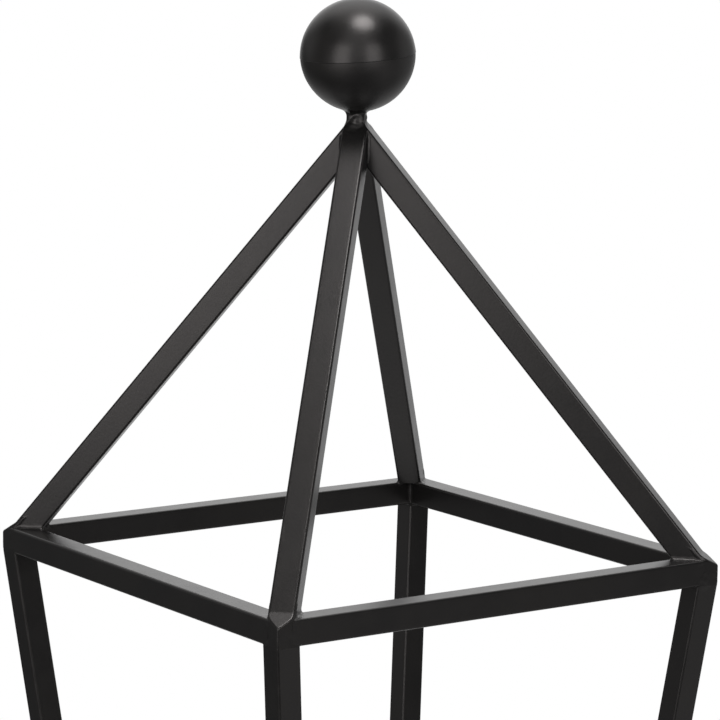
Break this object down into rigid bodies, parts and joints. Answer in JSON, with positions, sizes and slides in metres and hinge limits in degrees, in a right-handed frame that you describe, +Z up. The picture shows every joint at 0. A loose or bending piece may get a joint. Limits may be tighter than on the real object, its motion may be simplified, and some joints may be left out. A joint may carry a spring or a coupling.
{
  "type": "garden obelisk",
  "caption": "Open-frame garden obelisk of black square steel tube: legs widen upwards to a level square ring, and sloping rafters rise from it to a ball finial.",
  "frame": {"origin": "on the ground at the centre of the footprint of the feet", "axes": "+Z up the centre of the frame to the ball; the sides of the square ring run along X and Y; the front is -Y"},
  "size_m": [0.26, 0.26, 0.8736],
  "materials": {
    "black_powder_coat": "satin black powder coat",
    "black_foot_plastic": "moulded matte",
    "bare_steel": "bare mill steel, hidden inside the neck weld"
  },
  "bodies": {
    "root": {"finial_upper_shell": "black_powder_coat", "finial_lower_shell": "black_powder_coat", "finial_seam_weld": "black_powder_coat", "finial_neck_weld": "black_powder_coat", "apex_seam_welds": "black_powder_coat", "finial_stub": "bare_steel", "rafter_front_left": "black_powder_coat", "rafter_front_right": "black_powder_coat", "rafter_back_right": "black_powder_coat", "rafter_back_left": "black_powder_coat", "rafter_foot_welds": "black_powder_coat", "upper_ring_front": "black_powder_coat", "upper_ring_right": "black_powder_coat", "upper_ring_back": "black_powder_coat", "upper_ring_left": "black_powder_coat", "upper_ring_corner_welds": "black_powder_coat", "leg_front_left": "black_powder_coat", "leg_front_right": "black_powder_coat", "leg_back_right": "black_powder_coat", "leg_back_left": "black_powder_coat", "leg_top_welds": "black_powder_coat", "lower_rail_front": "black_powder_coat", "lower_rail_right": "black_powder_coat", "lower_rail_back": "black_powder_coat", "lower_rail_left": "black_powder_coat", "lower_rail_welds": "black_powder_coat", "foot_plug_front_left": "black_foot_plastic", "foot_plug_front_right": "black_foot_plastic", "foot_plug_back_right": "black_foot_plastic", "foot_plug_back_left": "black_foot_plastic"}
  },
  "joints": []
}
